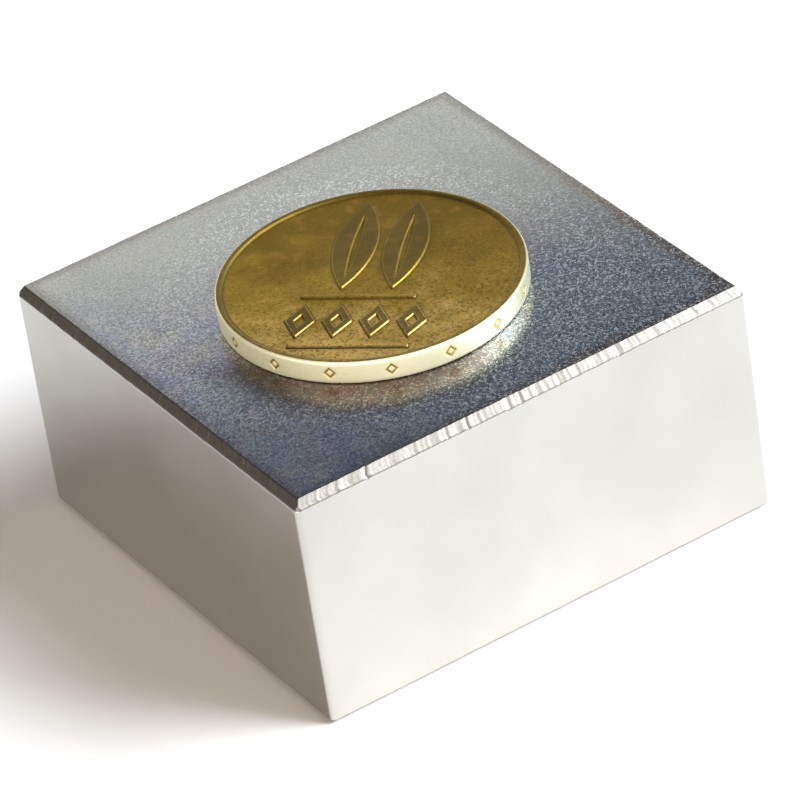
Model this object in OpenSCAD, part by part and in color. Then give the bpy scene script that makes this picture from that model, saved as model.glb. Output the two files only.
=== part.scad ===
// Block magnet with a coin resting on its top pole face.
//
// The magnet is one sintered block with ground, chamfered edges. Three plated layers
// wrap it: nickel, copper and nickel. A struck coin lies loose on the top face, a little
// off centre, and lifts straight off.
// Millimetres, +Z up. The origin is the centre of the magnet's bottom face.

/* [Magnet block] */
// Width of the plated block along X
block_w = 40; // [30:0.5:60]
// Depth of the plated block along Y
block_d = 40; // [30:0.5:60]
// Height of the plated block, which is also its magnetised direction
block_h = 20; // [8:0.5:30]
// How far the ground chamfers reach in across the top and bottom faces
chamfer_in = 0.55; // [0.3:0.05:1]
// How far the top chamfers reach down the sides
top_chamfer_down = 0.87; // [0.4:0.01:1.5]
// How far the bottom chamfers reach up the sides
base_chamfer_up = 0.4; // [0.2:0.05:1]
// Width that the chamfer on each upright edge takes from both sides
upright_chamfer = 0.35; // [0.2:0.05:0.8]

/* [Plating] */
// Thickness of the first nickel layer, next to the magnet
undercoat_t = 0.006; // [0.004:0.001:0.02]
// Thickness of the copper layer
copper_t = 0.010; // [0.004:0.001:0.02]
// Thickness of the outer nickel layer
topcoat_t = 0.010; // [0.004:0.001:0.02]

/* [Coin] */
// Diameter of the coin
coin_dia = 23.75; // [16:0.25:28]
// Thickness of the coin at its rim
coin_t = 1.9; // [1.4:0.05:2.6]
// Width of the raised rim
rim_w = 0.6; // [0.4:0.05:1]
// Bevel on the rim's outer edges
rim_bevel = 0.15; // [0.05:0.01:0.3]
// How far the field lies below the rim on both sides
field_depth = 0.16; // [0.1:0.01:0.25]
// Height of the struck ornament above the field
relief_h = 0.12; // [0.06:0.01:0.2]
// Coin centre along X, from the block's centre
coin_x = -0.7; // [-3:0.1:3]
// Coin centre along Y, from the block's centre
coin_y = -1.0; // [-3:0.1:3]
// Turn of the coin about its own axis
coin_turn = -43.8; // [-180:0.1:180]

/* [Coin ornament] */
// Length of each tall leaf
leaf_len = 11.8; // [8:0.1:13]
// Width of each tall leaf
leaf_w = 3.3; // [2:0.1:4]
// Width of the vein along the middle of a leaf
vein_w = 0.5; // [0.3:0.05:0.8]
// Height of the lozenges in the lower band
lozenge_h = 4.2; // [2:0.1:5]
// Width of the lozenges in the lower band
lozenge_w = 2.3; // [1.5:0.1:2.6]
// Width of the two straight rules
rule_w = 0.4; // [0.2:0.05:0.8]
// Number of petals on the underside
petal_count = 8; // [4:1:12]
// Number of small marks sunk into the edge
edge_mark_count = 16; // [8:1:24]

/* [Hidden] */
$fn = 96;

plating_t = undercoat_t + copper_t + topcoat_t;
coin_r = coin_dia / 2;
field_r = coin_r - rim_w;

// The ornament is laid out on a coin of this diameter, and grows with the coin
layout_dia = 23.75;
coin_scale = coin_dia / layout_dia;

// The ornament is sunk into the field by this much, so that the two join
relief_root = 0.1;

// The ornament's places on the coin, from the coin's centre
leaf_x = 1.95;
leaf_mid_y = 4.1;
vein_share = 0.72;
vein_len = vein_share * leaf_len;
upper_rule = [-0.4, -2.9, 8.7];
lower_rule = [0, -9.45, 9.1];
band_y = -6.15;
band_pitch = 2.85;
lozenge_count = 4;
hole_share = 0.42;

// The underside's petals lie between these two radii, round a boss
petal_in = 1.6;
petal_out = 9.6;
petal_w = 2.6;
boss_r = 1.12;

edge_mark_size = 0.7;
edge_mark_stroke = 0.17;
edge_mark_depth = 0.05;
edge_mark_turn = -5;

// A rectangle standing on its lower edge, with its four corners cut off
module cut_rectangle(w, h, cut_in, cut_top, cut_base) {
    polygon([
        [-w / 2 + cut_in, 0],
        [w / 2 - cut_in, 0],
        [w / 2, cut_base],
        [w / 2, h - cut_top],
        [w / 2 - cut_in, h],
        [-w / 2 + cut_in, h],
        [-w / 2, h - cut_top],
        [-w / 2, cut_base]
    ]);
}

// The chamfered block, with every face the given depth below the finished surface
module block_at_depth(depth) {
    w = block_w - 2 * depth;
    d = block_d - 2 * depth;
    h = block_h - 2 * depth;
    translate([0, 0, depth])
        intersection() {
            rotate([90, 0, 0])
                linear_extrude(height = d, center = true)
                    cut_rectangle(w, h, chamfer_in, top_chamfer_down, base_chamfer_up);
            rotate([90, 0, 90])
                linear_extrude(height = w, center = true)
                    cut_rectangle(d, h, chamfer_in, top_chamfer_down, base_chamfer_up);
            linear_extrude(height = h)
                translate([0, -d / 2])
                    cut_rectangle(w, d, upright_chamfer, upright_chamfer, upright_chamfer);
        }
}

// A closed plated layer between two depths
module plated_layer(outer_depth, inner_depth) {
    difference() {
        block_at_depth(outer_depth);
        block_at_depth(inner_depth);
    }
}

module magnet_core() {
    color("dimgray") block_at_depth(plating_t);
}

module nickel_undercoat() {
    color("darkgray") plated_layer(topcoat_t + copper_t, plating_t);
}

module copper_layer() {
    color("peru") plated_layer(topcoat_t, topcoat_t + copper_t);
}

module nickel_topcoat() {
    color("silver") plated_layer(0, topcoat_t);
}

// A pointed leaf outline along Y: the overlap of two equal circles
module leaf_outline(len, w) {
    arc_r = (len * len / 4 + w * w / 4) / w;
    intersection() {
        translate([arc_r - w / 2, 0])
            circle(r = arc_r);
        translate([w / 2 - arc_r, 0])
            circle(r = arc_r);
    }
}

module lozenge_outline(w, h) {
    polygon([[-w / 2, 0], [0, -h / 2], [w / 2, 0], [0, h / 2]]);
}

module rule(place) {
    translate([place.x, place.y])
        square([place.z, rule_w], center = true);
}

// Upper side: two leaves over a band of open lozenges between two rules
module obverse_outline() {
    for (side = [-1, 1])
        translate([side * leaf_x, leaf_mid_y])
            difference() {
                leaf_outline(leaf_len, leaf_w);
                leaf_outline(vein_len, vein_w);
            }
    rule(upper_rule);
    for (i = [0 : lozenge_count - 1])
        translate([(i - (lozenge_count - 1) / 2) * band_pitch, band_y])
            difference() {
                lozenge_outline(lozenge_w, lozenge_h);
                lozenge_outline(lozenge_w * hole_share, lozenge_h * hole_share);
            }
    rule(lower_rule);
}

// Underside: a ring of petals round a plain boss
module reverse_outline() {
    circle(r = boss_r);
    for (i = [0 : petal_count - 1])
        rotate([0, 0, i * 360 / petal_count])
            translate([0, (petal_in + petal_out) / 2])
                leaf_outline(petal_out - petal_in, petal_w);
}

// The blank: a bevelled disc whose field is sunk on both sides
module coin_blank() {
    rotate_extrude()
        polygon([
            [0, field_depth],
            [field_r, field_depth],
            [field_r + field_depth, 0],
            [coin_r - rim_bevel, 0],
            [coin_r, rim_bevel],
            [coin_r, coin_t - rim_bevel],
            [coin_r - rim_bevel, coin_t],
            [field_r + field_depth, coin_t],
            [field_r, coin_t - field_depth],
            [0, coin_t - field_depth]
        ]);
}

// A bar as deep as twice the mark, so that half of it cuts into the edge
module edge_mark_bar(size) {
    cube([2 * edge_mark_depth, size, size], center = true);
}

// The small open squares stand on their corners round the edge
module edge_marks() {
    for (i = [0 : edge_mark_count - 1])
        rotate([0, 0, i * 360 / edge_mark_count + edge_mark_turn])
            translate([coin_r, 0, coin_t / 2])
                rotate([45, 0, 0])
                    difference() {
                        edge_mark_bar(edge_mark_size);
                        scale([2, 1, 1])
                            edge_mark_bar(edge_mark_size - 2 * edge_mark_stroke);
                    }
}

module coin() {
    color("darkgoldenrod")
        translate([coin_x, coin_y, block_h])
            rotate([0, 0, coin_turn]) {
                difference() {
                    coin_blank();
                    edge_marks();
                }
                translate([0, 0, coin_t - field_depth - relief_root])
                    linear_extrude(height = relief_h + relief_root)
                        scale(coin_scale)
                            obverse_outline();
                translate([0, 0, field_depth - relief_h])
                    linear_extrude(height = relief_h + relief_root)
                        scale(coin_scale)
                            reverse_outline();
            }
}

magnet_core();
nickel_undercoat();
copper_layer();
nickel_topcoat();
coin();
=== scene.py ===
"""Looks for a nickel-plated block magnet with a struck coin lying on its top face.

The block is built as one stack of rings, so that its ground chamfers are real, uneven
geometry. The coin is built from flat outlines that are triangulated, given their relief
and, for the edge, wrapped round the rim. All lengths in the helpers are millimetres, and
the meshes are scaled to metres when they are made.
"""
import math

import bpy
from mathutils import Matrix, Vector, noise
from mathutils.geometry import delaunay_2d_cdt


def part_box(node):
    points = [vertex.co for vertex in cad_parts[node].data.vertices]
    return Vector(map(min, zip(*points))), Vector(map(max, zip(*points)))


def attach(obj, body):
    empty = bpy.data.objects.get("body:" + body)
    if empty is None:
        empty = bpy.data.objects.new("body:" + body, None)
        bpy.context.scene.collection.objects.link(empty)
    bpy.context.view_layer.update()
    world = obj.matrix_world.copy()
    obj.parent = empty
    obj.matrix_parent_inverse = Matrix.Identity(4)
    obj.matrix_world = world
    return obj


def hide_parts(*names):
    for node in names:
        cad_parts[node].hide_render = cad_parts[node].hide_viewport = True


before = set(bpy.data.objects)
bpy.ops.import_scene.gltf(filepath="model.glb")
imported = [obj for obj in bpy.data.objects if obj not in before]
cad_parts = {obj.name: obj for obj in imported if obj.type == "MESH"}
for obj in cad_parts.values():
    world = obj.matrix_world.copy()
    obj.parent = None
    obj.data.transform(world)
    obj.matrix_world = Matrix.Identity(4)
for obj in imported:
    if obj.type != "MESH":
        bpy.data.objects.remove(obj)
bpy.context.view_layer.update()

MM = 0.001

# ---------------------------------------------------------------- sizes from the frame

block_low, block_high = (Vector(corner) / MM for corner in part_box("nickel_topcoat"))
coin_low, coin_high = (Vector(corner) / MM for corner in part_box("coin"))

BLOCK_X = (block_high.x - block_low.x) / 2
BLOCK_Y = (block_high.y - block_low.y) / 2
BLOCK_H = block_high.z
# The CAD's chamfers, and the round that stands over the cut on each upright edge
CHAMFER_IN = 0.55
TOP_CHAMFER_DOWN = 0.87
BASE_CHAMFER_UP = 0.4
UPRIGHT_CHAMFER = 0.35
UPRIGHT_RADIUS = 0.42
SHARPEST_RADIUS = 0.1

COIN_R = (coin_high.x - coin_low.x) / 2
COIN_X = (coin_high.x + coin_low.x) / 2
COIN_Y = (coin_high.y + coin_low.y) / 2
COIN_Z = coin_low.z
COIN_T = coin_high.z - coin_low.z
# The CAD's own sizes on the coin
COIN_TURN = math.radians(-43.8)
RIM_W = 0.6
FIELD_DEPTH = 0.16
RELIEF_H = 0.12


# ---------------------------------------------------------------- mesh helpers

def make_piece(name, verts, faces, materials, kinds, tones):
    """A smooth-shaded mesh object from millimetre coordinates in the row frame.

    kinds holds each face's place in the list of materials, and tones each vertex's tone.
    """
    mesh = bpy.data.meshes.new(name)
    mesh.from_pydata([tuple(c * MM for c in v) for v in verts], [], faces)
    for material in materials:
        mesh.materials.append(material)
    mesh.polygons.foreach_set("material_index", kinds)
    tone = mesh.attributes.new("tone", "FLOAT", "POINT")
    tone.data.foreach_set("value", tones)
    mesh.polygons.foreach_set("use_smooth", [True] * len(mesh.polygons))
    mesh.update()
    piece = bpy.data.objects.new(name, mesh)
    bpy.context.scene.collection.objects.link(piece)
    return piece


def streak(position, pitch, seed):
    """Smooth noise from -1 to 1 along one line, with features about one pitch long."""
    return noise.noise(Vector((position / pitch, seed, 0.5)))


# ---------------------------------------------------------------- the block

SIDE_POINTS = 440
CORNER_POINTS = 8
QUARTER = SIDE_POINTS + CORNER_POINTS
RING = 4 * QUARTER
SIDE_KIND, CHAMFER_KIND, POLE_KIND = 0, 1, 2

# Metal that the wheel left above the CAD's chamfer, square to it: its mean and its least
LEFT_ON = 0.045
LEAST_LEFT_ON = 0.016
# (height, pitch, seed) of its unevenness along the edge, from slow waves to single lines
UNEVENNESS = [(0.014, 5.0, 0.0), (0.020, 0.8, 1.7), (0.013, 0.28, 3.1)]
CHIP_DEPTH, CHIP_PITCH, CHIP_SEED, CHIP_THRESHOLD = 0.12, 0.55, 5.9, 0.40
# The unevenness dies out over this share of a side, towards its corners
CORNER_FADE = 1 / 60
BASE_SEED, TOP_SEED, SEED_PER_SIDE = 40.0, 3.0, 7.3

# Where rings lie off a chamfer's two borders: on the flat beside it, at the bend, and on it
FLAT_SUPPORT, FLAT_EDGE, BEND, CHAMFER_EDGE = 0.14, 0.06, 0.028, 0.06
# Rings across a chamfer, as shares of its width, and the scratches that they carry
CROSS_RINGS = [0.14, 0.32, 0.5, 0.68, 0.86]
SCRATCH_SKEW = 0.25
FINE_SCRATCH, FINE_PITCH = 0.003, 0.22
BROAD_SCRATCH, BROAD_PITCH, BROAD_SEED = 0.002, 0.6, 2
SCRATCH_SEED_PER_SIDE = 11

# Painted shade on the rings next to a chamfer's border with the side, and with the pole face: the
# dark lines along the borders
SIDE_BORDER_TONES = [0.0, 0.05, 0.25, 0.3]
POLE_BORDER_TONES = [0.8, 0.6, 0.1, 0.0]
# How far in each ring of a pole face lies from the one before
CAP_INSETS = (0.3, 0.7, 1.5, 3.0, 6.0)


def corner_radius(inset):
    """The largest round that still lies outside the CAD's cut along the upright edge."""
    roomy = (UPRIGHT_CHAMFER - 2 * inset) / (2 - math.sqrt(2))
    return min(UPRIGHT_RADIUS, max(SHARPEST_RADIUS, roomy))


def ring_place(i, inset):
    """Point i of a rounded rectangle that lies the given inset inside the block's sides."""
    side, step = divmod(i, QUARTER)
    half_x = BLOCK_X - inset
    half_y = BLOCK_Y - inset
    radius = corner_radius(inset)
    along = (half_x, half_y)[side % 2]
    out = (half_y, half_x)[side % 2]
    if step < SIDE_POINTS:
        straight = along - radius
        u = straight * (2 * (step + 1) / (SIDE_POINTS + 1) - 1)
        v = out
    else:
        turn = math.pi / 2 * (step - SIDE_POINTS) / (CORNER_POINTS - 1)
        u = along - radius + radius * math.sin(turn)
        v = out - radius + radius * math.cos(turn)
    tangent = ((1, 0), (0, 1), (-1, 0), (0, -1))[side]
    outward = ((0, -1), (1, 0), (0, 1), (-1, 0))[side]
    return (u * tangent[0] + v * outward[0], u * tangent[1] + v * outward[1])


def left_on(i, edge_seed):
    """How much metal the wheel left above the CAD's chamfer at ring point i, square to it."""
    side, step = divmod(i, QUARTER)
    if step >= SIDE_POINTS:
        return LEFT_ON
    along = 2 * BLOCK_X * step / SIDE_POINTS
    seed = edge_seed + SEED_PER_SIDE * side
    uneven = sum(
        height * streak(along, pitch, seed + shift) for height, pitch, shift in UNEVENNESS)
    chip = max(0.0, streak(along, CHIP_PITCH, seed + CHIP_SEED) - CHIP_THRESHOLD)
    to_corner = min(step, SIDE_POINTS - 1 - step) / SIDE_POINTS
    fade = min(1.0, to_corner / CORNER_FADE)
    return max(LEAST_LEFT_ON, LEFT_ON + fade * (uneven - CHIP_DEPTH * chip))


def scratch(side, step, share, edge_seed):
    """Depth of the wheel's scratches, which run across the chamfer at a slight skew."""
    along = 2 * BLOCK_X * step / SIDE_POINTS
    seed = edge_seed + SCRATCH_SEED_PER_SIDE * side
    skewed = along + SCRATCH_SKEW * share
    return (FINE_SCRATCH * streak(skewed, FINE_PITCH, seed + share)
            + BROAD_SCRATCH * streak(skewed, BROAD_PITCH, seed + BROAD_SEED))


def chamfer_rings(drop, height, upward, edge_seed):
    """Rings from the flat side, over one ground chamfer, to the flat top or bottom face.

    upward is 1 for the top chamfer and -1 for the bottom one. Each ring is a list of
    (inset, z) for every point, and the list runs from the side towards the pole face.
    """
    slope = math.hypot(CHAMFER_IN, drop)
    columns = []
    for i in range(RING):
        proud = left_on(i, edge_seed)
        down = drop - proud * slope / CHAMFER_IN
        inward = CHAMFER_IN - proud * slope / drop
        length = math.hypot(inward, down)
        step_in, step_up = inward / length, down / length
        profile = [
            (0, -FLAT_SUPPORT), (0, -FLAT_EDGE),
            (BEND * step_in, -BEND / 2), (CHAMFER_EDGE * step_in, CHAMFER_EDGE * step_up),
        ]
        side, step = divmod(i, QUARTER)
        for share in CROSS_RINGS:
            mark = scratch(side, step, share, edge_seed) if step < SIDE_POINTS else 0
            rise = share * length
            profile.append((
                rise * step_in + mark * step_up,
                rise * step_up - mark * step_in,
            ))
        top_in = length * step_in
        top_up = length * step_up
        profile += [
            (top_in - CHAMFER_EDGE * step_in, top_up - CHAMFER_EDGE * step_up),
            (top_in - BEND / 2, top_up - BEND * step_up),
            (top_in + FLAT_EDGE, top_up), (top_in + FLAT_SUPPORT, top_up),
        ]
        columns.append([
            (max(inset, 0), height + upward * (rise - down)) for inset, rise in profile])
    return list(zip(*columns))


def block_mesh():
    """Vertices, faces, each face's material number and each vertex's tone, for the block.

    The tone is how much painted shade darkens it: most on a chamfer's border with the pole face.
    """
    verts, faces, kinds, tones = [], [], [], []

    def add_ring(ring, tone):
        first = len(verts)
        verts.extend((*ring_place(i, inset), z) for i, (inset, z) in enumerate(ring))
        tones.extend([tone] * len(ring))
        return [first + i for i in range(len(ring))]

    def bridge(lower, upper, kind):
        for i in range(RING):
            j = (i + 1) % RING
            faces.append((lower[i], lower[j], upper[j], upper[i]))
            kinds.append(kind)

    def cap(ring, facing_up):
        """Closes a pole face with rings that each have half the points of the last."""
        for inset in CAP_INSETS:
            shrink_x = 1 - inset / BLOCK_X
            shrink_y = 1 - inset / BLOCK_Y
            inner = []
            for v in ring[::2]:
                x, y, z = verts[v]
                verts.append((x * shrink_x, y * shrink_y, z))
                tones.append(0.0)
                inner.append(len(verts) - 1)
            for k, near in enumerate(inner):
                a, b, c = (ring[(2 * k + step) % len(ring)] for step in range(3))
                far = inner[(k + 1) % len(inner)]
                fan = [(a, b, near), (b, far, near), (b, c, far)]
                faces.extend(f if facing_up else f[::-1] for f in fan)
                kinds.extend([POLE_KIND] * len(fan))
            ring = inner
        faces.append(tuple(ring) if facing_up else tuple(reversed(ring)))
        kinds.append(POLE_KIND)

    base_rings = chamfer_rings(BASE_CHAMFER_UP, 0.0, -1, BASE_SEED)
    top_rings = chamfer_rings(TOP_CHAMFER_DOWN, BLOCK_H, 1, TOP_SEED)
    middle_tones = [0.0] * (len(top_rings) - len(SIDE_BORDER_TONES) - len(POLE_BORDER_TONES))
    ring_tones = SIDE_BORDER_TONES + middle_tones + POLE_BORDER_TONES
    band_kinds = [SIDE_KIND] * 2 + [CHAMFER_KIND] * (len(top_rings) - 4) + [POLE_KIND]
    ids = [add_ring(*pair) for pair in zip(reversed(base_rings), reversed(ring_tones))]
    ids += [add_ring(*pair) for pair in zip(top_rings, ring_tones)]
    for lower, upper, kind in zip(ids, ids[1:], [*reversed(band_kinds), SIDE_KIND, *band_kinds]):
        bridge(lower, upper, kind)
    cap(ids[-1], True)
    cap(ids[0], False)
    return verts, faces, kinds, tones


# ---------------------------------------------------------------- the coin's outlines
# Each outline is a function of an outward offset, so that one shape gives the loops at
# the foot, on the wall and on the top of its relief.

def leaf(cx, cy, length, width, turn=0.0, points=150):
    """A pointed leaf along Y: the overlap of two equal circles."""
    arc_r = (length ** 2 / 4 + width ** 2 / 4) / width
    centre = arc_r - width / 2
    per_side = points // 2

    def outline(offset):
        r = arc_r + offset
        tip = math.acos(centre / r)
        loop = []
        for k in range(points):
            half, step = divmod(k, per_side)
            angle = tip * (2 * step / per_side - 1)
            x = r * math.cos(angle) - centre
            y = r * math.sin(angle)
            if half:
                x, y = -x, -y
            loop.append((
                cx + x * math.cos(turn) - y * math.sin(turn),
                cy + x * math.sin(turn) + y * math.cos(turn),
            ))
        return loop
    return outline


def polygon_outline(cx, cy, corners, reach, step):
    """A convex polygon round its own centre; reach is the distance to its nearest side."""
    def outline(offset):
        grow = (reach + offset) / reach
        loop = []
        for k, (ax, ay) in enumerate(corners):
            bx, by = corners[(k + 1) % len(corners)]
            count = max(2, round(math.hypot(bx - ax, by - ay) / step))
            for s in range(count):
                u = s / count
                x, y = ax + (bx - ax) * u, ay + (by - ay) * u
                loop.append((cx + grow * x, cy + grow * y))
        return loop
    return outline


def lozenge(cx, cy, width, height, step=0.2):
    """A lozenge on its point."""
    half_w, half_h = width / 2, height / 2
    reach = half_w * half_h / math.hypot(half_w, half_h)
    corners = [(half_w, 0), (0, half_h), (-half_w, 0), (0, -half_h)]
    return polygon_outline(cx, cy, corners, reach, step)


def bar(cx, cy, length, width, step=0.2):
    """A straight rule along X, with square ends."""
    def outline(offset):
        a, b = length / 2 + offset, width / 2 + offset
        corners = [(a, -b), (a, b), (-a, b), (-a, -b)]
        return polygon_outline(cx, cy, corners, b, step)(0)
    return outline


def disc(radius, points):
    """A circle round the coin's centre."""
    def outline(offset):
        r = radius + offset
        return [(r * math.cos(math.tau * k / points), r * math.sin(math.tau * k / points))
                for k in range(points)]
    return outline


# The CAD's ornament
LEAF_LEN, LEAF_W, LEAF_X, LEAF_Y = 11.8, 3.3, 1.95, 4.1
VEIN_SHARE, VEIN_W = 0.72, 0.5
VEIN_LEN = VEIN_SHARE * LEAF_LEN
BAND_Y, BAND_PITCH, LOZENGES = -6.15, 2.85, 4
LOZENGE_W, LOZENGE_H, HOLE_SHARE = 2.3, 4.2, 0.42
RULE_W = 0.4
# (x, y, length) of the two rules
RULES = [(-0.4, -2.9, 8.7), (0, -9.45, 9.1)]
PETALS, PETAL_IN, PETAL_OUT, PETAL_W = 8, 1.6, 9.6, 2.6
BOSS_R = PETAL_IN * 0.7  # 1.12
# How darkly the tops are toned
RULE_TONE, SHAPE_TONE = 0.0, 0.75
# Points on the smaller outlines, and the step along a lozenge's hole
VEIN_POINTS, PETAL_POINTS, BOSS_POINTS = 100, 90, 60
HOLE_STEP = 0.12


def obverse():
    """(outline, is it a hole, tone of its top) for every shape on the upper side."""
    shapes = [(bar(*rule, RULE_W), False, RULE_TONE) for rule in RULES]
    for side in (-1, 1):
        x = side * LEAF_X
        shapes.append((leaf(x, LEAF_Y, LEAF_LEN, LEAF_W), False, SHAPE_TONE))
        vein = leaf(x, LEAF_Y, VEIN_LEN, VEIN_W, points=VEIN_POINTS)
        shapes.append((vein, True, SHAPE_TONE))
    for k in range(LOZENGES):
        x = (k - (LOZENGES - 1) / 2) * BAND_PITCH
        shapes.append((lozenge(x, BAND_Y, LOZENGE_W, LOZENGE_H), False, SHAPE_TONE))
        hole = lozenge(x, BAND_Y, LOZENGE_W * HOLE_SHARE, LOZENGE_H * HOLE_SHARE, HOLE_STEP)
        shapes.append((hole, True, SHAPE_TONE))
    return shapes


def reverse():
    """The same for the underside: a ring of petals round a boss."""
    shapes = [(disc(BOSS_R, BOSS_POINTS), False, SHAPE_TONE)]
    middle = (PETAL_IN + PETAL_OUT) / 2
    for k in range(PETALS):
        turn = math.tau * k / PETALS
        x, y = -middle * math.sin(turn), middle * math.cos(turn)
        petal = leaf(x, y, PETAL_OUT - PETAL_IN, PETAL_W, turn, PETAL_POINTS)
        shapes.append((petal, False, SHAPE_TONE))
    return shapes


# Points nearer than this become one when an outline is triangulated
WELD_DISTANCE = 1e-6

# Offset from the outline, share of the full height, and tone, from the field up the wall.
# The tone is 0 on the open field and 1 where it is darkest, at the foot: toning, with painted
# shade in the recess.
RELIEF_PROFILE = [
    (0.17, 0.0, 0.0),
    (0.09, 0.0, 1.0),
    (0.03, 0.15, 0.8),
    (-0.02, 0.85, 0.55),
    (-0.05, 1.0, 0.2),
]
# The loop inside which a raised shape's top has its own tone
RELIEF_TOP_INSET = 0.12


def relief_loops(shapes, profile, top_inset):
    """Loops of (outline points, height share, tone) for a set of raised or sunk shapes."""
    loops = []
    for outline, is_hole, top_tone in shapes:
        for offset, share, tone in [*profile, (-top_inset, 1.0, top_tone)]:
            loops.append((outline(-offset if is_hole else offset), share, tone))
    return loops


def triangulate(loops, loose=()):
    """Triangles that keep to every loop and have a corner at every loose point.

    A loose point is (x, y, share, tone). Returns the corners in the same form, and the faces.
    """
    points, edges, values = [], [], []
    for ring, share, tone in loops:
        first, count = len(points), len(ring)
        points += [Vector(p) for p in ring]
        edges += [(first + k, first + (k + 1) % count) for k in range(count)]
        values += [(share, tone)] * count
    for x, y, share, tone in loose:
        points.append(Vector((x, y)))
        values.append((share, tone))
    places, _, faces, origin, _, _ = delaunay_2d_cdt(points, edges, [], 0, WELD_DISTANCE)
    verts = [(p.x, p.y, *values[source[0]]) for p, source in zip(places, origin)]
    turned = []
    for face in faces:
        a, b, c = (places[k] for k in face[:3])
        area = (b - a).cross(c - a)
        turned.append(tuple(face) if area > 0 else tuple(reversed(face)))
    return verts, turned


# ---------------------------------------------------------------- the coin

FACE_KIND, EDGE_KIND = 0, 1
# Points round the coin
ROUND = 384
# Width of the slope from the field up to the rim's top
RIM_SLOPE = 0.17
# Height of the soft bevel between the rim's top and the coin's side
BEVEL_H = 0.24
# Strips of the rim, next to the side, that have the edge's material
EDGE_STRIPS = 3

# The CAD's edge marks: open squares that stand on a corner, measured from corner to corner
EDGE_MARKS = 16
EDGE_MARK_TURN = -5
MARK_SIZE = 0.99
MARK_STROKE = 0.17
MARK_DEPTH = 0.05
MARK_STEP = 0.1
# Their wall and floor, in the same form as the relief's, but sunk
MARK_PROFILE = [(0.06, 0.0, 0.0), (0.02, 0.1, 0.3), (-0.02, 0.9, 1.0)]
MARK_TOP_INSET = 0.06
MARK_TONE = 1.0
# Rows of faces up the coin's side, and the room round a mark that its grid leaves free
SIDE_ROWS = 6
MARK_CLEARANCE = 0.2


class CoinMesh:
    """Collects the coin's parts, and welds them where their rims meet."""

    def __init__(self):
        self.verts, self.faces, self.kinds, self.tones = [], [], [], []
        self.known = {}

    def vertex(self, x, y, z, tone):
        """The number of the vertex at that place, which is added if it is new."""
        key = (round(x, 4), round(y, 4), round(z, 4))
        if key not in self.known:
            self.known[key] = len(self.verts)
            self.verts.append((x, y, z))
            self.tones.append(tone)
        return self.known[key]

    def add(self, verts, faces, kind):
        """Adds a part whose vertices are (x, y, z, tone)."""
        ids = [self.vertex(*v) for v in verts]
        for face in faces:
            corners = [ids[k] for k in face]
            if len(set(corners)) == len(corners):
                self.faces.append(tuple(corners))
                self.kinds.append(kind)

    def placed(self):
        """The vertices turned and moved to the coin's place on the block."""
        turned = Matrix.Rotation(COIN_TURN, 4, "Z")
        place = Matrix.Translation((COIN_X, COIN_Y, COIN_Z)) @ turned
        return [tuple(place @ Vector(v)) for v in self.verts]


def rim_profile():
    """(radius, height, tone) over the rim, from the field's border to the coin's side."""
    inner = COIN_R - RIM_W
    return [
        (inner - 0.16, -FIELD_DEPTH, 0.0),
        (inner - 0.04, -FIELD_DEPTH, 0.9),
        (inner, -FIELD_DEPTH + 0.02, 0.9),
        (inner + RIM_SLOPE * 0.75, -0.03, 0.75),
        (inner + RIM_SLOPE, -0.008, 0.6),
        (inner + RIM_SLOPE + 0.06, 0.0, 0.5),
        (COIN_R - 0.20, 0.0, 0.6),
        (COIN_R - 0.13, -0.02, 0.0),
        (COIN_R - 0.05, -0.07, 0.0),
        (COIN_R - 0.012, -0.14, 0.0),
        (COIN_R, -BEVEL_H, 0.0),
    ]


def add_face_and_rim(coin, shapes, is_top):
    """One side of the coin: the struck field, then the rim over to the side."""
    profile = rim_profile()
    field_r, _, border_tone = profile[0]
    border = (disc(field_r, ROUND)(0), 0.0, border_tone)
    flat, faces = triangulate([border] + relief_loops(shapes, RELIEF_PROFILE, RELIEF_TOP_INSET))
    level = COIN_T - FIELD_DEPTH
    sheet = [(x, y, level + share * RELIEF_H, tone) for x, y, share, tone in flat]
    rings, strips = [], []
    for r, rise, tone in profile:
        for k in range(ROUND):
            turn = math.tau * k / ROUND
            rings.append((r * math.cos(turn), r * math.sin(turn), COIN_T + rise, tone))
    for ring in range(len(profile) - 1):
        for k in range(ROUND):
            a, b = ring * ROUND + k, ring * ROUND + (k + 1) % ROUND
            strips.append((a, a + ROUND, b + ROUND, b))
    if not is_top:
        sheet = [(x, y, COIN_T - z, tone) for x, y, z, tone in sheet]
        rings = [(x, y, COIN_T - z, tone) for x, y, z, tone in rings]
        faces = [face[::-1] for face in faces]
        strips = [face[::-1] for face in strips]
    coin.add(sheet, faces, FACE_KIND)
    on_rim = len(strips) - EDGE_STRIPS * ROUND
    coin.add(rings, strips[:on_rim], FACE_KIND)
    coin.add(rings, strips[on_rim:], EDGE_KIND)


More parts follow.
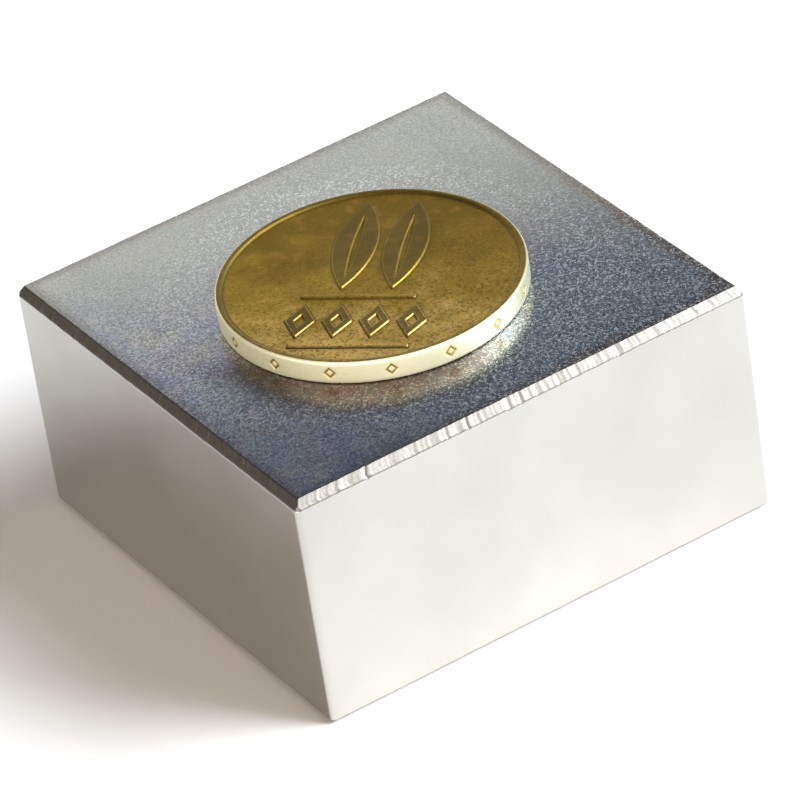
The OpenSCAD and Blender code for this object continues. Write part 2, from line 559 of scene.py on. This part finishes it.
def add_side(coin):
    """The coin's side, with its marks sunk into it: a flat strip wrapped round the coin."""
    girth = math.tau * COIN_R
    column = girth / ROUND
    low, high = BEVEL_H, COIN_T - BEVEL_H
    levels = [low + (high - low) * k / SIDE_ROWS for k in range(SIDE_ROWS + 1)]
    border = [(k * column, low) for k in range(ROUND)]
    border += [(girth, z) for z in levels[:-1]]
    border += [(k * column, high) for k in range(ROUND, 0, -1)]
    border += [(0, z) for z in reversed(levels[1:])]
    first_mark = 1 + EDGE_MARK_TURN * EDGE_MARKS / 360
    marks = [(k + first_mark) * girth / EDGE_MARKS for k in range(EDGE_MARKS)]
    hole_size = MARK_SIZE - 2 * math.sqrt(2) * MARK_STROKE
    shapes = []
    for s in marks:
        for size, is_hole in ((MARK_SIZE, False), (hole_size, True)):
            shapes.append((lozenge(s, COIN_T / 2, size, size, MARK_STEP), is_hole, MARK_TONE))
    clear = MARK_SIZE / 2 + MARK_CLEARANCE
    loose = []
    for k in range(1, ROUND):
        for z in levels[1:-1]:
            s = k * column
            if all(abs(s - m) + abs(z - COIN_T / 2) > clear for m in marks):
                loose.append((s, z, 0.0, 0.0))
    mark_loops = relief_loops(shapes, MARK_PROFILE, MARK_TOP_INSET)
    flat, faces = triangulate([(border, 0.0, 0.0)] + mark_loops, loose)
    wrapped = []
    for s, z, share, tone in flat:
        r = COIN_R - share * MARK_DEPTH
        turn = math.tau * s / girth
        wrapped.append((r * math.cos(turn), r * math.sin(turn), z, tone))
    coin.add(wrapped, faces, EDGE_KIND)


# ---------------------------------------------------------------- material helpers

class Nodes:
    """Short names for building one material's node tree. Lengths are millimetres."""

    def __init__(self, name):
        self.material = bpy.data.materials.new(name)
        self.material.use_nodes = True
        self.tree = self.material.node_tree
        self.shader = self.tree.nodes["Principled BSDF"]
        coordinates = self.tree.nodes.new("ShaderNodeTexCoord")
        to_mm = self.tree.nodes.new("ShaderNodeVectorMath")
        to_mm.operation = "SCALE"
        to_mm.inputs["Scale"].default_value = 1 / MM
        self.link(coordinates.outputs["Object"], to_mm.inputs[0])
        self.place = to_mm.outputs[0]

    def link(self, source, target):
        self.tree.links.new(source, target)

    def put(self, value, socket):
        """Links a node's output, or sets a plain value."""
        if isinstance(value, bpy.types.NodeSocket):
            self.link(value, socket)
        else:
            socket.default_value = value

    def set(self, **values):
        """Sets the shader's sockets, with _ for the space in a name."""
        for name, value in values.items():
            self.put(value, self.shader.inputs[name.replace("_", " ")])

    def vector_math(self, operation, other):
        """A vector operation on the place and a fixed vector."""
        node = self.tree.nodes.new("ShaderNodeVectorMath")
        node.operation = operation
        self.link(self.place, node.inputs[0])
        node.inputs[1].default_value = other
        return node.outputs

    def stretched(self, x, y, z):
        """The place with each axis scaled, for streaks."""
        return self.vector_math("MULTIPLY", (x, y, z))["Vector"]

    def along(self, x=0.0, y=0.0, z=0.0):
        """How far the place lies along one direction, in millimetres."""
        return self.vector_math("DOT_PRODUCT", (x, y, z))["Value"]

    def distance(self, x, y, z):
        """How far the place lies from one point, in millimetres."""
        return self.vector_math("DISTANCE", (x, y, z))["Value"]

    def noise(self, size, detail=2.0, roughness=0.5, place=None, distortion=0.0):
        """Noise from 0 to 1 whose blobs are about size millimetres across."""
        node = self.tree.nodes.new("ShaderNodeTexNoise")
        self.link(place or self.place, node.inputs["Vector"])
        node.inputs["Scale"].default_value = 1 / size
        node.inputs["Detail"].default_value = detail
        node.inputs["Roughness"].default_value = roughness
        node.inputs["Distortion"].default_value = distortion
        return node.outputs["Fac"]

    def voronoi(self, size):
        """Cells of about size millimetres."""
        node = self.tree.nodes.new("ShaderNodeTexVoronoi")
        self.link(self.place, node.inputs["Vector"])
        node.inputs["Scale"].default_value = 1 / size
        return node.outputs

    def cells(self, size):
        """Distance to the nearest cell centre, as a share of the cells' size."""
        return self.voronoi(size)["Distance"]

    def flakes(self, size):
        """A random number from 0 to 1 for each cell."""
        split = self.tree.nodes.new("ShaderNodeSeparateColor")
        self.link(self.voronoi(size)["Color"], split.inputs[0])
        return split.outputs[0]

    def ramp(self, value, low, high, out_low=0.0, out_high=1.0):
        """A smooth step: out_low where value is low, and out_high where it is high."""
        node = self.tree.nodes.new("ShaderNodeMapRange")
        node.interpolation_type = "SMOOTHSTEP"
        self.put(value, node.inputs["Value"])
        node.inputs["From Min"].default_value = low
        node.inputs["From Max"].default_value = high
        node.inputs["To Min"].default_value = out_low
        node.inputs["To Max"].default_value = out_high
        return node.outputs["Result"]

    def math(self, operation, a, b=0.0):
        """One arithmetic operation on two numbers."""
        node = self.tree.nodes.new("ShaderNodeMath")
        node.operation = operation
        self.put(a, node.inputs[0])
        self.put(b, node.inputs[1])
        return node.outputs[0]

    def mix(self, share, a, b):
        """Colour a where share is 0, and colour b where it is 1."""
        node = self.tree.nodes.new("ShaderNodeMix")
        node.data_type = "RGBA"
        self.put(share, node.inputs[0])
        for value, socket in ((a, node.inputs[6]), (b, node.inputs[7])):
            self.put(value if isinstance(value, bpy.types.NodeSocket) else (*value, 1), socket)
        return node.outputs[2]

    def tone(self):
        """The tone that the mesh carries."""
        node = self.tree.nodes.new("ShaderNodeAttribute")
        node.attribute_name = "tone"
        return node.outputs["Fac"]

    def painted_border_shade(self, least, most):
        """The mesh's tone, broken up into fine patches: painted shade along the block's chamfer
        borders.
        """
        patches = self.ramp(self.noise(0.35), 0.42, 0.58, least, most)
        return self.math("MULTIPLY", self.tone(), patches)

    def bump(self, height, depth, under=None):
        """Bumps depth millimetres deep where height goes from 0 to 1."""
        node = self.tree.nodes.new("ShaderNodeBump")
        node.inputs["Strength"].default_value = 1.0
        node.inputs["Distance"].default_value = depth * MM
        self.put(height, node.inputs["Height"])
        if under:
            self.link(under, node.inputs["Normal"])
        return node.outputs["Normal"]


# ---------------------------------------------------------------- materials

def nickel_pole():
    """Satin pole faces: a fine grain under the plating, with dark pits and bright specks that are
    painted glints.

    The far half is plain grey. The near half is painted bluer, in blue, violet and grey clouds
    with dark blue blotches, as a painted reflection of the dark blue room. It is painted paler at
    the right corner and the front edge as a highlight, and dark and ruddy in front of the coin as
    the
    coin edge's dim reflection. A painted dark line and a painted brown one run along the borders:
    the reflections of the rounded edges.
    """
    n = Nodes("nickel_pole_face")
    grain = n.noise(0.22, detail=2.0, roughness=0.6)
    flake = n.flakes(0.13)
    hue = n.noise(3.0, detail=3.0)
    cloud = n.noise(5.5, detail=3.0, roughness=0.6)
    cool = n.mix(n.ramp(hue, 0.38, 0.62), (0.40, 0.41, 0.545), (0.46, 0.50, 0.52))
    warm = n.mix(n.ramp(hue, 0.38, 0.62), (0.48, 0.44, 0.50), (0.51, 0.47, 0.44))
    blue_violet_clouds = n.mix(n.ramp(cloud, 0.42, 0.60), cool, warm)
    far_grey = n.mix(n.ramp(cloud, 0.35, 0.65), (0.465, 0.465, 0.455), (0.50, 0.50, 0.475))
    reach = n.along(x=0.475, y=0.88)
    blotch = n.ramp(n.noise(3.6, detail=2.0, distortion=0.6), 0.50, 0.66, 0.0, 0.45)
    blotched = n.mix(blotch, blue_violet_clouds, (0.20, 0.21, 0.34))
    # Painted reflection: the near half is painted bluer, with dark blue blotches, as the dark
    # blue room's reflection; the far half is plain grey.
    painted_near_reflection = n.mix(n.ramp(reach, -6.0, 8.0), blotched, far_grey)
    # Painted highlight: the face is painted paler at the right corner and along the front edge.
    corner_highlight = n.ramp(n.distance(13.0, -15.5, BLOCK_H), 11.0, 1.0, 0.0, 0.8)
    edge_highlight = n.ramp(n.distance(6.0, -18.0, BLOCK_H), 10.0, 2.0, 0.0, 0.9)
    tint = n.mix(n.math("MAXIMUM", corner_highlight, edge_highlight), painted_near_reflection, (0.55, 0.62, 0.63))
    # Painted reflection: a dark ruddy patch in front of the coin dims and reddens the coin edge's
    # reflection there.
    from_coin = n.distance(COIN_X, COIN_Y, BLOCK_H)
    beside_coin = n.ramp(from_coin, COIN_R, COIN_R + 5.5, 1.0, 0.0)
    in_front = n.math("MULTIPLY", n.ramp(reach, -5.5, -9.5), n.ramp(n.along(x=1), 4.0, -1.0))
    ruddy = n.math("MULTIPLY", beside_coin, in_front)
    coin_reflection_red = n.mix(n.ramp(hue, 0.40, 0.58), (0.14, 0.068, 0.056), (0.125, 0.086, 0.068))
    with_coin_reflection = n.mix(ruddy, tint, coin_reflection_red)
    # Painted reflections of the rounded edges: a dark line along every border, and a brown band
    # beside it that is strongest towards the right front corner.
    off_middle = n.math(
        "MAXIMUM", n.math("ABSOLUTE", n.along(x=1)), n.math("ABSOLUTE", n.along(y=1)))
    border = n.math("ADD", off_middle, n.math("MULTIPLY", hue, 1.4))
    painted_brown_border = n.math("MULTIPLY", n.ramp(border, 19.0, 19.6),
                     n.ramp(n.along(x=1, y=-1), 8.0, 28.0, 0.2, 1.0))
    with_dark_edge_line = n.mix(n.ramp(off_middle, 18.4, 19.5, 0.0, 0.5), with_coin_reflection, (0.13, 0.125, 0.13))
    with_painted_borders = n.mix(painted_brown_border, with_dark_edge_line, (0.42, 0.33, 0.26))
    focus = n.math("ABSOLUTE", n.math("ADD", reach, 9.0))
    pitted = n.math("MAXIMUM", n.ramp(grain, 0.62, 0.30), n.ramp(flake, 0.32, 0.05))
    mottled = n.math("MULTIPLY", pitted, n.ramp(focus, 3.0, 20.0, 0.72, 0.3))
    dulled = n.mix(mottled, with_painted_borders, (0.09, 0.10, 0.15))
    # Painted glints: bright specks, strongest in a band across the middle, at the right front and
    # in a ring round the coin, and fewer on the ruddy patch and to the left.
    sharp = n.math("ADD", n.ramp(focus, 3.0, 17.0, 0.8, 0.22),
                   n.ramp(n.along(x=0.5, y=-0.5), 5.0, 17.0, 0.0, 0.45))
    off_ring = n.math("ABSOLUTE", n.math("SUBTRACT", from_coin, COIN_R + 4.0))
    sharp = n.math("ADD", sharp, n.ramp(off_ring, 3.5, 0.5, 0.0, 0.4))
    clear = n.math("MULTIPLY", sharp, n.ramp(ruddy, 0.0, 1.0, 1.0, 0.3))
    clear = n.math("MULTIPLY", clear, n.ramp(n.along(x=1), -19.0, 1.0, 0.4, 1.0))
    painted_glints = n.math("MULTIPLY", n.ramp(flake, 0.68, 0.95), clear)
    n.set(Base_Color=n.mix(painted_glints, dulled, (0.88, 0.94, 0.94)), Metallic=1.0)
    n.set(Roughness=n.ramp(flake, 0.0, 1.0, 0.22, 0.30))
    n.set(Normal=n.bump(grain, 0.005))
    return n.material


def nickel_side():
    """Finely ground sides: smooth, with a faint haze and a few dull specks."""
    n = Nodes("nickel_side_face")
    haze = n.noise(6.0, detail=3.0)
    bloom = n.noise(2.2, detail=3.0)
    fine = n.noise(0.12, detail=2.0)
    speck = n.ramp(n.cells(1.7), 0.03, 0.07, 1.0, 0.0)
    tint = n.mix(n.ramp(haze, 0.3, 0.7), (0.482, 0.464, 0.434), (0.515, 0.500, 0.472))
    hazed = n.mix(n.ramp(bloom, 0.45, 0.75, 0.0, 0.5), tint, (0.470, 0.474, 0.440))
    dotted = n.mix(n.math("MULTIPLY", speck, 0.4), hazed, (0.34, 0.32, 0.30))
    # Painted shade darkens the side along its border with each chamfer.
    n.set(Base_Color=n.mix(n.painted_border_shade(0.25, 0.95), dotted, (0.20, 0.18, 0.16)))
    n.set(Metallic=1.0, Roughness=n.ramp(haze, 0.3, 0.7, 0.16, 0.22))
    n.set(Normal=n.bump(fine, 0.0010))
    return n.material


def nickel_chamfer():
    """Ground chamfers: the wheel's scratches run across them, and painted shade lines their
    borders.
    """
    n = Nodes("nickel_chamfer")
    grit = n.noise(0.10, detail=3.0)
    along_edge = n.along(x=1, y=1, z=-0.63)
    across = n.noise(0.34, detail=3.0, roughness=0.7, place=along_edge)
    sets = n.noise(2.4, detail=2.0, roughness=0.7, place=along_edge)
    patch = n.noise(0.22, detail=2.0, roughness=0.6)
    bars = n.math("ADD", n.math("MULTIPLY", across, 0.35), n.math("MULTIPLY", patch, 0.35))
    bars = n.math("ADD", bars, n.math("MULTIPLY", sets, 0.3))
    ground = n.mix(n.ramp(bars, 0.38, 0.62), (0.155, 0.146, 0.131), (0.208, 0.199, 0.181))
    tint = n.mix(n.ramp(across, 0.38, 0.30, 0.0, 0.5), ground, (0.10, 0.095, 0.09))
    n.set(Base_Color=n.mix(n.painted_border_shade(0.35, 1.0), tint, (0.14, 0.12, 0.10)))
    n.set(Metallic=1.0, Roughness=n.ramp(bars, 0.3, 0.7, 0.40, 0.32))
    n.set(Normal=n.bump(across, 0.0015, n.bump(grit, 0.003)))
    return n.material


def coin_face():
    """Toned brass: a matt, speckled field, darker at the foot and top of each struck shape.

    The darkening round each shape is toning with painted shade in the recesses, painted stronger
    on the left. The field is a deep olive at the far side and more golden at the near one.
    """
    n = Nodes("coin_brass_face")
    tone = n.tone()
    speckle = n.noise(0.24, detail=3.0, roughness=0.75)
    patina = n.noise(3.0, detail=3.0)
    spots = n.noise(1.3, detail=2.0)
    across = n.math("ADD", n.along(x=-0.05, y=-0.08), n.math("MULTIPLY", patina, 1.6))
    olive = n.mix(n.ramp(across, 0.1, 1.3), (0.23, 0.137, 0.005), (0.47, 0.29, 0.03))
    golden = n.mix(n.ramp(across, 1.05, 2.1), olive, (0.95, 0.63, 0.18))
    ruddy = n.mix(n.ramp(spots, 0.52, 0.75, 0.0, 0.45), golden, (0.52, 0.27, 0.04))
    near = n.ramp(n.along(x=-0.4, y=-0.9), -8.0, 8.0, 0.3, 1.0)
    glints = n.math("MULTIPLY", n.ramp(speckle, 0.55, 0.75, 0.0, 0.5), near)
    pits = n.math("MULTIPLY", n.ramp(speckle, 0.55, 0.30, 0.0, 0.85), near)
    flecked = n.mix(pits, n.mix(glints, ruddy, (0.84, 0.60, 0.14)), (0.13, 0.085, 0.01))
    # Painted shade: the darkening round the shapes and along the rim's foot is full on the left
    # and weaker to the right.
    painted_left_shade = n.ramp(n.along(x=-0.9, y=-0.4), -2.0, 10.0, 0.6, 1.0)
    darkened = n.math("MULTIPLY", n.ramp(tone, 0.0, 1.0), painted_left_shade)
    toned_and_shaded = n.mix(darkened, flecked, (0.10, 0.085, 0.03))
    n.set(Base_Color=toned_and_shaded, Metallic=1.0, Roughness=n.ramp(tone, 0.0, 1.0, 0.45, 0.5))
    n.set(Normal=n.bump(speckle, 0.007))
    return n.material


def coin_edge():
    """Pale brass of the rim and side, painted duller to the right as shade, with toning in the
    sunk marks.
    """
    n = Nodes("coin_brass_edge")
    tone = n.tone()
    rub = n.noise(0.5, detail=3.0, place=n.stretched(1, 1, 3))
    pale = n.mix(n.ramp(rub, 0.3, 0.7), (0.88, 0.85, 0.58), (0.93, 0.91, 0.645))
    # Painted shade: the edge is painted duller towards the right.
    painted_right_shade = n.mix(n.ramp(n.along(x=1), COIN_X - 7.5, COIN_X + 5.0), pale, (0.40, 0.39, 0.27))
    n.set(Base_Color=n.mix(tone, painted_right_shade, (0.36, 0.24, 0.04)))
    n.set(Metallic=0.5, Roughness=n.ramp(rub, 0.3, 0.7, 0.46, 0.38))
    n.set(Normal=n.bump(n.noise(0.15, detail=2.0), 0.003))
    return n.material


def sintered_core():
    """Dark, granular sintered magnet."""
    n = Nodes("sintered_magnet")
    grain = n.noise(0.15, detail=3.0)
    n.set(Base_Color=n.mix(n.ramp(grain, 0.3, 0.7), (0.12, 0.115, 0.11), (0.20, 0.19, 0.18)))
    n.set(Metallic=0.8, Roughness=n.ramp(grain, 0.3, 0.7, 0.65, 0.5))
    n.set(Normal=n.bump(grain, 0.01))
    return n.material


def plated_layer(name, dull, bright):
    """A thin plated layer under the top coat: satin, with a faint cloudiness."""
    n = Nodes(name)
    cloud = n.noise(1.5, detail=3.0)
    n.set(Base_Color=n.mix(n.ramp(cloud, 0.3, 0.7), dull, bright))
    n.set(Metallic=1.0, Roughness=n.ramp(cloud, 0.3, 0.7, 0.4, 0.3))
    n.set(Normal=n.bump(n.noise(0.1, detail=2.0), 0.002))
    return n.material


def floor_paper():
    """The pale, matt floor."""
    n = Nodes("pale_floor")
    n.set(Base_Color=(0.90, 0.89, 0.88, 1), Roughness=0.8)
    n.set(Normal=n.bump(n.noise(0.6, detail=3.0), 0.004))
    return n.material


def glow(name, colour, strength):
    """A plain glowing material."""
    material = bpy.data.materials.new(name)
    material.use_nodes = True
    tree = material.node_tree
    tree.nodes.clear()
    light = tree.nodes.new("ShaderNodeEmission")
    light.inputs["Color"].default_value = (*colour, 1)
    light.inputs["Strength"].default_value = strength
    out = tree.nodes.new("ShaderNodeOutputMaterial")
    tree.links.new(light.outputs[0], out.inputs["Surface"])
    return material


# ---------------------------------------------------------------- the object

verts, faces, kinds, tones = block_mesh()
block = make_piece(
    "block_plating", verts, faces, [nickel_side(), nickel_chamfer(), nickel_pole()], kinds, tones)
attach(block, "magnet")
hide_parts("nickel_topcoat")

coin_parts = CoinMesh()
add_face_and_rim(coin_parts, obverse(), True)
add_face_and_rim(coin_parts, reverse(), False)
add_side(coin_parts)
coin = make_piece(
    "struck_coin", coin_parts.placed(), coin_parts.faces, [coin_face(), coin_edge()],
    coin_parts.kinds, coin_parts.tones)
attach(coin, "coin")
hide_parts("coin")

inner_layers = {
    "magnet_core": sintered_core(),
    "nickel_undercoat": plated_layer("nickel_underlayer", (0.48, 0.46, 0.43), (0.58, 0.56, 0.52)),
    "copper_layer": plated_layer("plated_copper", (0.72, 0.36, 0.24), (0.86, 0.47, 0.33)),
}
for node, material in inner_layers.items():
    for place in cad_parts[node].material_slots:
        place.material = material


# ---------------------------------------------------------------- floor, card and lights

def plane(name, centre, along, up, width, height, material):
    """A flat rectangle, in metres, with its middle at centre."""
    centre, along, up = Vector(centre), Vector(along).normalized(), Vector(up).normalized()
    corners = [(-1, -1), (1, -1), (1, 1), (-1, 1)]
    mesh = bpy.data.meshes.new(name)
    places = [centre + along * (a * width / 2) + up * (b * height / 2) for a, b in corners]
    mesh.from_pydata([tuple(p) for p in places], [], [(0, 1, 2, 3)])
    mesh.materials.append(material)
    sheet = bpy.data.objects.new(name, mesh)
    bpy.context.scene.collection.objects.link(sheet)
    return sheet


FLOOR_SIZE = 6.0
plane("floor", (0, 0, 0), (1, 0, 0), (0, 1, 0), FLOOR_SIZE, FLOOR_SIZE, floor_paper())

# A card behind the block that only its reflections show
CARD_Y = 0.056
CARD_H = 0.062
CARD_LEFT, CARD_RIGHT = -0.028, 0.23
card = plane(
    "white_card", ((CARD_LEFT + CARD_RIGHT) / 2, CARD_Y, CARD_H / 2), (1, 0, 0), (0, 0, 1),
    CARD_RIGHT - CARD_LEFT, CARD_H, glow("card_white", (0.99, 1.0, 0.95), 1.04))
card.visible_camera = False
card.visible_diffuse = False
card.visible_shadow = False
card.visible_transmission = False


def softbox(name, direction, distance, size, power, colour):
    """A square area light that faces the origin."""
    data = bpy.data.lights.new(name, "AREA")
    data.shape = "SQUARE"
    data.size = size
    data.energy = power
    data.color = colour
    lamp = bpy.data.objects.new(name, data)
    bpy.context.scene.collection.objects.link(lamp)
    place = Vector(direction).normalized() * distance
    facing = place.to_track_quat("Z", "Y").to_matrix().to_4x4()
    lamp.matrix_world = Matrix.Translation(place) @ facing


softbox("key", (0.695, -0.469, 0.545), 1.0, 0.84, 29.0, (0.94, 1.0, 1.07))


# (direction, angle within which it is full, angle where it ends, colour, strength)
ROOM_LOBES = [
    ((0.396, 0.733, 0.75), 15, 60, (0.10, 0.125, 0.18), 1.0),
    ((-0.67, 0.73, 0.15), 10, 45, (0.17, 0.11, 0.07), 1.2),
    ((-0.1, -0.75, 0.66), 30, 95, (0.185, 0.115, 0.05), 1.0),
    ((-0.5, -0.8, 0.05), 12, 36, (1.0, 0.95, 0.86), 3.0),
    ((-0.93, -0.3, 0.02), 12, 36, (1.0, 0.94, 0.84), 4.6),
    ((0.4, -0.82, 0.42), 10, 32, (1.0, 0.98, 0.93), 1.6),
]


def room_light():
    """The world: the sum of the lobes, and dark elsewhere."""
    world = bpy.data.worlds.new("studio")
    bpy.context.scene.world = world
    world.use_nodes = True
    tree = world.node_tree
    background = tree.nodes["Background"]
    coordinates = tree.nodes.new("ShaderNodeTexCoord")
    total = None
    for axis, full, end, colour, strength in ROOM_LOBES:
        dot = tree.nodes.new("ShaderNodeVectorMath")
        dot.operation = "DOT_PRODUCT"
        tree.links.new(coordinates.outputs["Generated"], dot.inputs[0])
        dot.inputs[1].default_value = Vector(axis).normalized()
        fade = tree.nodes.new("ShaderNodeMapRange")
        fade.interpolation_type = "SMOOTHSTEP"
        tree.links.new(dot.outputs["Value"], fade.inputs["Value"])
        fade.inputs["From Min"].default_value = math.cos(math.radians(end))
        fade.inputs["From Max"].default_value = math.cos(math.radians(full))
        tint = tree.nodes.new("ShaderNodeVectorMath")
        tint.operation = "SCALE"
        tint.inputs[0].default_value = Vector(colour) * strength
        tree.links.new(fade.outputs["Result"], tint.inputs["Scale"])
        if total is None:
            total = tint.outputs[0]
        else:
            both = tree.nodes.new("ShaderNodeVectorMath")
            tree.links.new(total, both.inputs[0])
            tree.links.new(tint.outputs[0], both.inputs[1])
            total = both.outputs[0]
    tree.links.new(total, background.inputs["Color"])


room_light()


# ---------------------------------------------------------------- camera

# The camera's place, seen from AIM, and its lens in millimetres
VIEW_AZIMUTH = math.radians(-28.4)
VIEW_ELEVATION = math.radians(33.64)
VIEW_ROLL = math.radians(-9.13)
VIEW_DISTANCE = 0.4782
LENS = 285.2
AIM = Vector((-0.00137, -0.00365, 0.012))

back = Vector((
    math.sin(VIEW_AZIMUTH) * math.cos(VIEW_ELEVATION),
    -math.cos(VIEW_AZIMUTH) * math.cos(VIEW_ELEVATION),
    math.sin(VIEW_ELEVATION),
))
camera_data = bpy.data.cameras.new("camera")
camera_data.lens = LENS
camera_data.sensor_width = 36
camera_data.clip_start = 0.01
camera_data.clip_end = 20
camera = bpy.data.objects.new("camera", camera_data)
bpy.context.scene.collection.objects.link(camera)
right = Vector((0, 0, 1)).cross(back).normalized()
upright = back.cross(right)
level = Matrix((right, upright, back)).transposed().to_4x4()
camera.matrix_world = (
    Matrix.Translation(AIM + back * VIEW_DISTANCE) @ level @ Matrix.Rotation(VIEW_ROLL, 4, "Z"))
bpy.context.scene.camera = camera
bpy.context.scene.view_settings.view_transform = "Standard"
